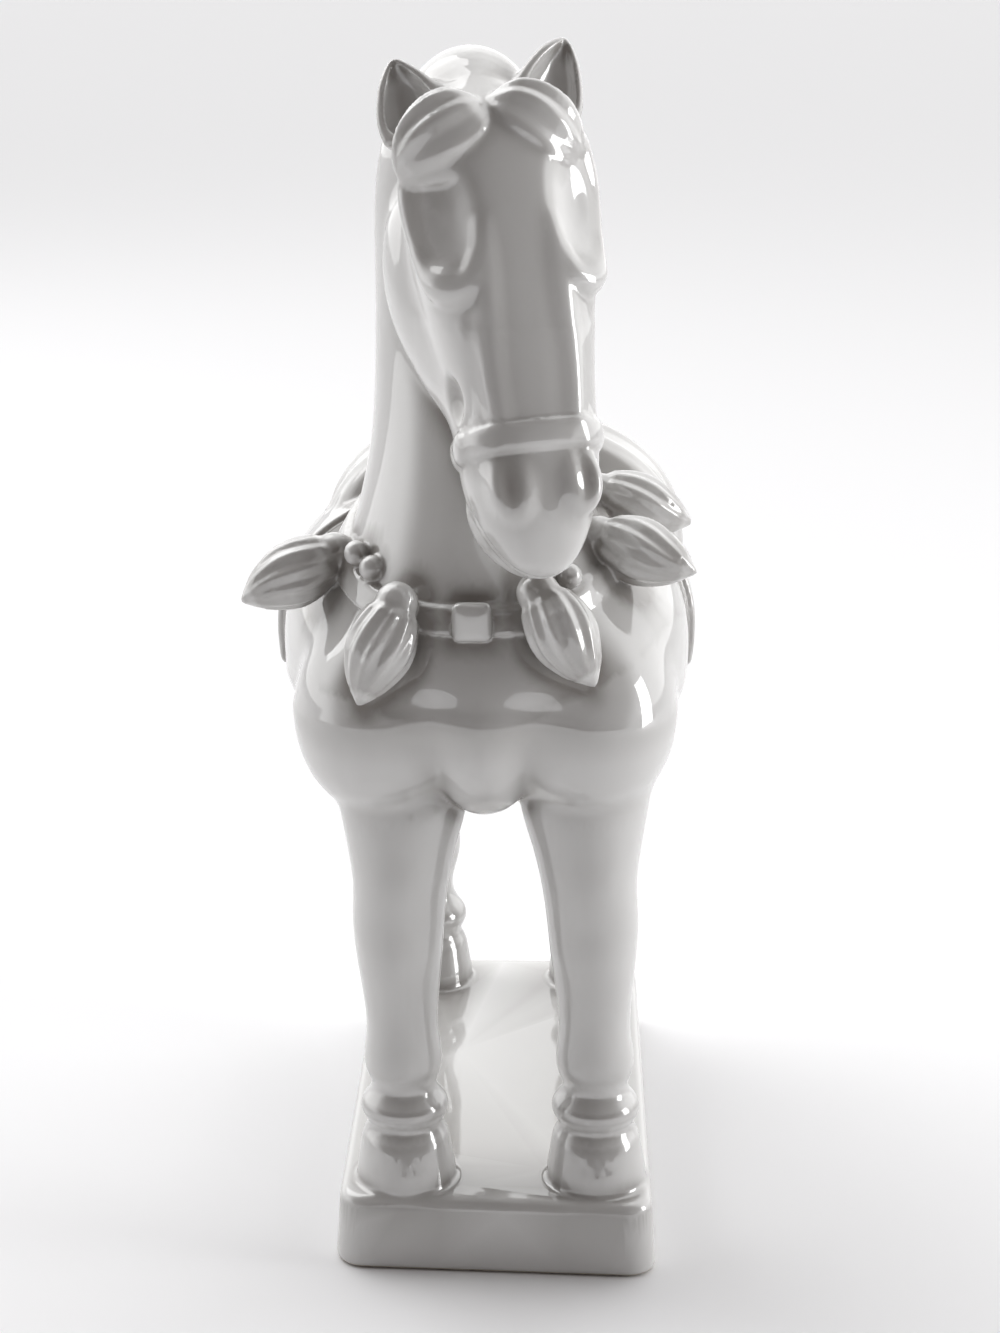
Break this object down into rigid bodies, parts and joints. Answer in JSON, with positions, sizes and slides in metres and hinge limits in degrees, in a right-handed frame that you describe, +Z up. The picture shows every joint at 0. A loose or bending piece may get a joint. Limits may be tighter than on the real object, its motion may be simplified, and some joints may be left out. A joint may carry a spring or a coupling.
{
  "type": "porcelain horse figurine",
  "caption": "White glazed porcelain horse standing in harness on a low rectangular plinth, head turned to its left, with grooved mane, tassel collar, saddle and hanging tail.",
  "frame": {"origin": "centre of the plinth's underside, on the surface it stands on", "axes": "+Z up, -Y the way the horse faces, +X towards the horse's left side"},
  "size_m": [0.1371, 0.236, 0.3603],
  "materials": {
    "white_glaze": "high-gloss clear glaze over white porcelain"
  },
  "bodies": {
    "root": {"porcelain_horse": "white_glaze"}
  },
  "joints": []
}
